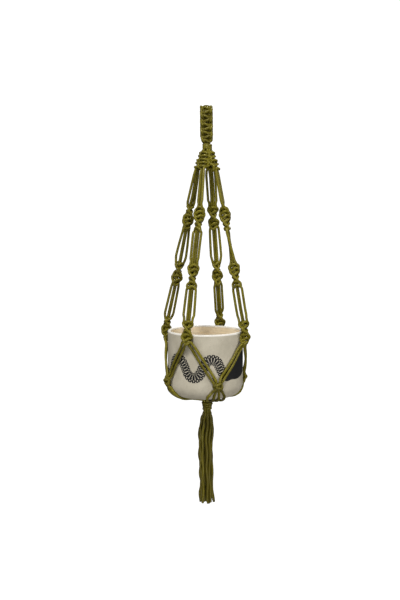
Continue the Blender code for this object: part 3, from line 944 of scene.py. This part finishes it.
def band_line():
    """The painted band's middle, unrolled: (arc length round the pot, height)."""
    points = []
    sharp = 1.2
    for a in np.linspace(BAND_TAIL_AZIMUTH, BAND_END_AZIMUTH, 900):
        wave = math.cos(2.0 * math.pi * (a - BAND_CREST_AZIMUTH) / BAND_PERIOD)
        height = math.tanh(sharp * wave) / math.tanh(sharp)
        points.append((math.radians(a) * POT_RADIUS, BAND_MIDDLE_Z + BAND_RISE * height))
    return np.array(points)


def pot_rings():
    """(radius, z, zone) from the underside's middle, over the lip, to the inside floor's middle.

    Zone is 0 on the glazed outside, 1 on the lip and 2 inside.
    """
    inner = POT_RADIUS - POT_WALL
    floor_z = POT_BOTTOM_Z + POT_FLOOR
    lip = POT_WALL / 2.0
    foot = (POT_RADIUS - POT_FOOT_ROUND, POT_BOTTOM_Z + POT_FOOT_ROUND)
    well = (inner - POT_INNER_ROUND, floor_z + POT_INNER_ROUND)
    rings = [(r, POT_BOTTOM_Z, 0.0) for r in np.linspace(0.002, foot[0] - 0.002, 12)]
    rings += [(r, z, 0.0) for r, z in arc(foot, POT_FOOT_ROUND, -90.0, 0.0, 22)]
    rings += [(POT_RADIUS, z, 0.0) for z in np.linspace(foot[1], POT_RIM_Z - lip - 0.0012, 50)[1:]]
    top = arc((POT_RADIUS - lip, POT_RIM_Z - lip), lip, 0.0, 180.0, 13)
    rings += [(r, z, 1.0) for r, z in top]
    for i, z in enumerate(np.linspace(POT_RIM_Z - lip - 0.0014, well[1], 60)):
        rings.append((inner + 0.00012 * math.sin(i * 1.9) + 0.00008 * math.sin(i * 0.7), z, 2.0))
    rings += [(r, z, 2.0) for r, z in arc(well, POT_INNER_ROUND, 0.0, -90.0, 12)[1:]]
    rings += [(r, floor_z, 2.0) for r in np.linspace(well[0] - 0.004, 0.002, 12)]
    return rings


def nearest_on_band(band, lengths, wraps, heights):
    """How far along the band and away from its middle each point of the unrolled pot is."""
    along = np.full(len(wraps), 0.0)
    away = np.full(len(wraps), 1.0)
    for shift in (0.0, -2.0 * math.pi * POT_RADIUS):
        for start in range(0, len(wraps), 4000):
            block = slice(start, start + 4000)
            du = wraps[block, None] + shift - band[None, :, 0]
            dz = heights[block, None] - band[None, :, 1]
            d = np.hypot(du, dz)
            best = d.argmin(axis=1)
            rows = np.arange(len(best))
            nearer = d[rows, best] < away[block]
            away[block] = np.where(nearer, d[rows, best], away[block])
            along[block] = np.where(nearer, lengths[best], along[block])
    return along, away


def outside_lobe(band, wraps, heights):
    """How far each point of the unrolled pot is outside the black shape at the band's end."""
    tilt = math.radians(LOBE_TILT)
    du = wraps - math.radians(LOBE_AZIMUTH) * POT_RADIUS
    dz = heights - LOBE_Z
    a = (du * math.cos(tilt) + dz * math.sin(tilt)) / LOBE_LONG
    b = (dz * math.cos(tilt) - du * math.sin(tilt)) / LOBE_SHORT
    lobe = (np.hypot(a, b) - 1.0) * LOBE_SHORT
    tip = np.hypot(wraps - band[-1, 0], heights - band[-1, 1]) - BAND_END_RADIUS
    share = np.clip(0.5 + 0.5 * (tip - lobe) / LOBE_MERGE, 0.0, 1.0)
    return tip + (lobe - tip) * share - LOBE_MERGE * share * (1.0 - share)


def build_pot():
    rings = pot_rings()
    angles = np.linspace(-math.pi, math.pi, POT_SEGMENTS, endpoint=False)
    points = [(*ring, a) for ring in rings for a in angles]
    faces = ring_faces(len(rings), POT_SEGMENTS)
    for ring in (0, len(rings) - 1):
        middle = len(points)
        points.append((0.0, *rings[ring][1:], 0.0))
        for k in range(POT_SEGMENTS):
            a, b = ring * POT_SEGMENTS + k, ring * POT_SEGMENTS + (k + 1) % POT_SEGMENTS
            faces.append((middle, b, a) if ring == 0 else (middle, a, b))
    radii, heights, zones, turns = np.array(points).T
    verts = np.stack([radii * np.sin(turns), -radii * np.cos(turns), heights], axis=1)
    mesh = bpy.data.meshes.new("pot_glazed")
    mesh.from_pydata(verts.tolist(), [], faces)
    band = band_line()
    lengths = np.concatenate(([0.0], np.cumsum(np.linalg.norm(np.diff(band, axis=0), axis=1))))
    along, away = nearest_on_band(band, lengths, turns * POT_RADIUS, heights)
    lobe = outside_lobe(band, turns * POT_RADIUS, heights)
    outside = (zones < 0.5) & (heights > POT_BOTTOM_Z + 0.004)
    away = np.where(outside, away, 1.0)
    lobe = np.where(outside, lobe, 1.0)
    tail = math.radians(18.0) * POT_RADIUS
    half = BAND_HALF_WIDTH * np.clip(along / tail, 0.05, 1.0) ** 0.7
    narrowing = np.clip((lengths[-1] - along) / 0.014, 0.0, 1.0)
    half *= BAND_END_RADIUS / BAND_HALF_WIDTH * (1.0 - narrowing) + narrowing
    for name, values in (
        ("zone", zones),
        ("band_along", along),
        ("band_away", away / half),
        ("band_black", np.maximum(0.0, lengths[-1] - along)),
        ("lobe", lobe),
    ):
        layer = mesh.attributes.new(name, "FLOAT", "POINT")
        layer.data.foreach_set("value", values.astype(np.float32))
    mesh.shade_smooth()
    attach(add_piece("pot_glazed", mesh, "pot", "stoneware"), "pot")


# Materials


def srgb(r, g, b):
    """Linear colour from the 0 to 255 values that a picture shows."""
    shown = [value / 255.0 for value in (r, g, b)]
    linear = [c / 12.92 if c <= 0.0404 else ((c + 0.055) / 1.055) ** 2.4 for c in shown]
    return (*linear, 1.0)


class Nodes:
    """Builds a material's node tree; each method returns an output socket."""

    def __init__(self, name):
        self.material = bpy.data.materials.new(name)
        self.material.use_nodes = True
        self.tree = self.material.node_tree
        self.shader = self.tree.nodes["Principled BSDF"]

    def link(self, source, target):
        if isinstance(source, bpy.types.NodeSocket):
            self.tree.links.new(source, target)
        else:
            target.default_value = source

    def math(self, operation, *values):
        node = self.tree.nodes.new("ShaderNodeMath")
        node.operation = operation
        for value, socket in zip(values, node.inputs):
            self.link(value, socket)
        return node.outputs[0]

    def plus(self, a, b):
        return self.math("ADD", a, b)

    def times(self, a, b):
        return self.math("MULTIPLY", a, b)

    def attribute(self, name):
        node = self.tree.nodes.new("ShaderNodeAttribute")
        node.attribute_name = name
        return node.outputs["Fac"]

    def noise(self, vector, scale, detail=3.0, roughness=0.5):
        node = self.tree.nodes.new("ShaderNodeTexNoise")
        self.link(vector, node.inputs["Vector"])
        node.inputs["Scale"].default_value = scale
        node.inputs["Detail"].default_value = detail
        node.inputs["Roughness"].default_value = roughness
        return node.outputs["Fac"]

    def mix(self, factor, a, b):
        node = self.tree.nodes.new("ShaderNodeMix")
        node.data_type = "RGBA"
        self.link(factor, node.inputs[0])
        self.link(a, node.inputs[6])
        self.link(b, node.inputs[7])
        return node.outputs[2]

    def ramp(self, value, low, high):
        node = self.tree.nodes.new("ShaderNodeMapRange")
        node.interpolation_type = "SMOOTHSTEP"
        self.link(value, node.inputs["Value"])
        self.link(low, node.inputs["From Min"])
        self.link(high, node.inputs["From Max"])
        return node.outputs["Result"]

    def bump(self, height, distance, strength=1.0):
        node = self.tree.nodes.new("ShaderNodeBump")
        node.inputs["Strength"].default_value = strength
        node.inputs["Distance"].default_value = distance
        self.link(height, node.inputs["Height"])
        return node.outputs["Normal"]

    def place(self):
        return self.tree.nodes.new("ShaderNodeTexCoord").outputs["Object"]


def cord_material():
    """Braided cord: two families of strands that cross, with fine fibres along each."""
    n = Nodes("olive_braid")
    uv = n.tree.nodes.new("ShaderNodeUVMap")
    uv.uv_map = "cord"
    split = n.tree.nodes.new("ShaderNodeSeparateXYZ")
    n.link(uv.outputs[0], split.inputs[0])
    around = n.times(split.outputs[0], 2.0 * math.pi * 5.0)
    along = n.times(split.outputs[1], 2.0 * math.pi / BRAID_PITCH)
    one = n.math("SINE", n.plus(along, around))
    two = n.math("SINE", n.math("SUBTRACT", along, around))
    over = n.math("MAXIMUM", one, two)
    under = n.math("MINIMUM", one, two)
    height = n.plus(n.times(over, 0.38), n.times(under, 0.12))
    height = n.plus(height, 0.5)
    point = n.place()
    fibres = n.noise(point, 2600.0, 2.0, 0.6)
    height_all = n.plus(height, n.times(fibres, 0.25))
    patches = n.noise(point, 60.0, 3.0, 0.6)
    streak = n.noise(point, 420.0, 2.0, 0.5)
    # The shade attribute holds each cord's own tone, picked at random, and painted shade: lower
    # values for the fillers buried in the crown and the loop, and for the tassel's strands.
    shade = n.attribute("shade")
    tone = n.plus(n.times(patches, 0.55), n.times(shade, 0.25))
    tone = n.plus(tone, n.times(streak, 0.20))
    base = n.mix(n.ramp(tone, 0.25, 0.75), CORD_DARK, CORD_LIGHT)
    # painted shade: a darker colour in the braid's grooves, where its strands dip
    painted_groove_shade = n.mix(n.ramp(height, 0.10, 0.62), CORD_GROOVE_PAINTED_SHADE, base)
    n.link(painted_groove_shade, n.shader.inputs["Base Color"])
    rough = n.plus(n.times(fibres, 0.14), 0.33)
    n.link(rough, n.shader.inputs["Roughness"])
    n.shader.inputs["Sheen Weight"].default_value = 0.02
    n.shader.inputs["Sheen Roughness"].default_value = 0.45
    n.shader.inputs["Sheen Tint"].default_value = CORD_SHEEN
    n.shader.inputs["Specular IOR Level"].default_value = 0.55
    n.shader.inputs["Specular Tint"].default_value = CORD_GLEAM
    n.link(n.bump(height_all, 0.0004, 0.40), n.shader.inputs["Normal"])
    return n.material


def pot_material():
    """Matt glaze outside with a painted wavy band of checks, a pale lip and a tan inside."""
    n = Nodes("glazed_stoneware")
    point = n.place()
    zone = n.attribute("zone")
    mottle = n.noise(point, 34.0, 4.0, 0.6)
    speck = n.noise(point, 900.0, 2.0, 0.55)
    grain = n.noise(point, 2400.0, 2.0, 0.6)
    outside = n.mix(n.ramp(mottle, 0.3, 0.7), POT_OUTER_DARK, POT_OUTER_LIGHT)
    outside = n.mix(n.ramp(speck, 0.62, 0.72), outside, POT_SPECK)
    outside = n.mix(n.times(n.ramp(grain, 0.35, 0.75), 0.25), outside, POT_OUTER_LIGHT)
    away = n.attribute("band_away")
    along = n.attribute("band_along")
    stagger = n.times(n.math("GREATER_THAN", away, BAND_MIDDLE_ROW), 0.5)
    outermost = n.times(n.math("GREATER_THAN", away, BAND_OUTER_ROW), 0.5)
    cells = n.plus(n.math("DIVIDE", along, BAND_CHECK), 40.0)
    cell = n.math("FRACT", n.plus(n.plus(cells, stagger), outermost))
    inside_cell = n.math("ABSOLUTE", n.math("SUBTRACT", cell, 0.5))
    dark = n.ramp(inside_cell, 0.40, 0.385)
    wobble = n.times(n.math("SUBTRACT", speck, 0.5), 0.25)
    edge = n.plus(away, wobble)
    band = n.times(n.ramp(edge, 1.02, 0.94), dark)
    to_end = n.attribute("band_black")
    solid_end = n.times(n.ramp(edge, 1.02, 0.94), n.ramp(to_end, 0.008, 0.006))
    lobe = n.ramp(n.attribute("lobe"), 0.0003, -0.0003)
    paint = n.math("MAXIMUM", n.math("MAXIMUM", band, solid_end), lobe)
    outside = n.mix(paint, outside, POT_PAINT)
    inner_noise = n.noise(point, 26.0, 4.0, 0.6)
    inner = n.mix(n.ramp(inner_noise, 0.3, 0.7), POT_INNER_DARK, POT_INNER_LIGHT)
    inner = n.mix(n.times(n.ramp(speck, 0.55, 0.7), 0.35), inner, POT_INNER_DARK)
    lip = n.mix(n.ramp(speck, 0.4, 0.7), POT_LIP, POT_LIP_SHADE)
    colour = n.mix(n.ramp(zone, 0.35, 0.65), outside, lip)
    colour = n.mix(n.ramp(zone, 1.35, 1.65), colour, inner)
    n.link(colour, n.shader.inputs["Base Color"])
    rough = n.plus(n.times(speck, 0.25), 0.48)
    rough = n.math("SUBTRACT", rough, n.times(paint, 0.05))
    n.link(rough, n.shader.inputs["Roughness"])
    n.shader.inputs["Specular IOR Level"].default_value = 0.4
    height = n.plus(n.times(grain, 0.5), n.times(mottle, 0.6))
    height = n.plus(height, n.times(paint, 0.25))
    n.link(n.bump(height, 0.0003, 0.5), n.shader.inputs["Normal"])
    return n.material


CORD_DARK = srgb(84, 76, 8)
CORD_LIGHT = srgb(132, 123, 26)
# painted shade for the braid's grooves
CORD_GROOVE_PAINTED_SHADE = srgb(58, 50, 4)
CORD_SHEEN = srgb(190, 182, 120)
CORD_GLEAM = srgb(246, 238, 190)
POT_OUTER_DARK = srgb(178, 170, 150)
POT_OUTER_LIGHT = srgb(196, 188, 168)
POT_SPECK = srgb(150, 141, 122)
POT_PAINT = srgb(10, 10, 10)
POT_LIP = srgb(240, 236, 226)
POT_LIP_SHADE = srgb(225, 219, 205)
POT_INNER_DARK = srgb(222, 204, 170)
POT_INNER_LIGHT = srgb(244, 230, 202)


# Stage and light


def build_stage():
    """A pale floor that curves up into a backdrop."""
    floor_z, reach, bend, height, sides = -1.9, 4.5, 1.2, 6.0, 64
    profile = [(0.0001, floor_z), (reach - bend, floor_z)]
    for a in np.linspace(0.0, math.pi / 2.0, 13)[1:]:
        profile.append((reach - bend + bend * math.sin(a), floor_z + bend - bend * math.cos(a)))
    profile += [(reach, floor_z + height), (0.0001, floor_z + height + 0.5)]
    turns = [2.0 * math.pi * k / sides for k in range(sides)]
    verts = [tuple(polar(turn, r, z)) for r, z in profile for turn in turns]
    mesh = bpy.data.meshes.new("backdrop")
    mesh.from_pydata(verts, [], ring_faces(len(profile), sides))
    mesh.shade_smooth()
    n = Nodes("backdrop_white")
    n.shader.inputs["Base Color"].default_value = (0.90, 0.90, 0.895, 1.0)
    n.shader.inputs["Roughness"].default_value = 0.9
    n.shader.inputs["Emission Color"].default_value = (1.0, 1.0, 1.0, 1.0)
    n.shader.inputs["Emission Strength"].default_value = 0.85
    mesh.materials.append(n.material)
    obj = add_object("backdrop", mesh)
    obj.visible_diffuse = False
    obj.visible_glossy = False
    obj.visible_shadow = False


def add_area(name, at, towards, size, power):
    data = bpy.data.lights.new(name, "AREA")
    data.shape = "DISK"
    data.size = size
    data.energy = power
    light = add_object(name, data)
    light.location = at
    direction = np.array(towards) - np.array(at)
    yaw = math.atan2(direction[1], direction[0]) - math.pi / 2.0
    tilt = math.atan2(math.hypot(direction[0], direction[1]), -direction[2])
    light.rotation_euler = (tilt, 0.0, yaw)


def build_light():
    world = bpy.data.worlds.new("studio")
    bpy.context.scene.world = world
    world.use_nodes = True
    background = world.node_tree.nodes["Background"]
    background.inputs["Color"].default_value = (1.0, 0.995, 0.985, 1.0)
    background.inputs["Strength"].default_value = 0.14
    add_area("key", (-0.30, -1.60, 1.70), (0.0, 0.0, -0.30), 0.5, 47.0)
    add_area("fill", (0.2, -1.7, -1.5), (0.0, 0.0, -0.45), 1.0, 15.0)
    add_area("left", (-2.0, -0.7, 0.3), (0.0, 0.0, -0.40), 1.0, 12.0)
    add_area("right", (2.0, -0.7, 0.3), (0.0, 0.0, -0.40), 1.0, 15.0)
    add_area("back", (0.5, 2.0, 1.0), (0.0, 0.0, -0.35), 1.2, 34.0)
    settings = bpy.context.scene.view_settings
    settings.view_transform = "Standard"
    settings.look = "None"


add_camera()
materials = {"olive_cord": cord_material(), "stoneware": pot_material()}
build_tassel()
build_legs()
build_net()
build_wraps()
build_hanging_loop()
build_pot()
build_stage()
build_light()
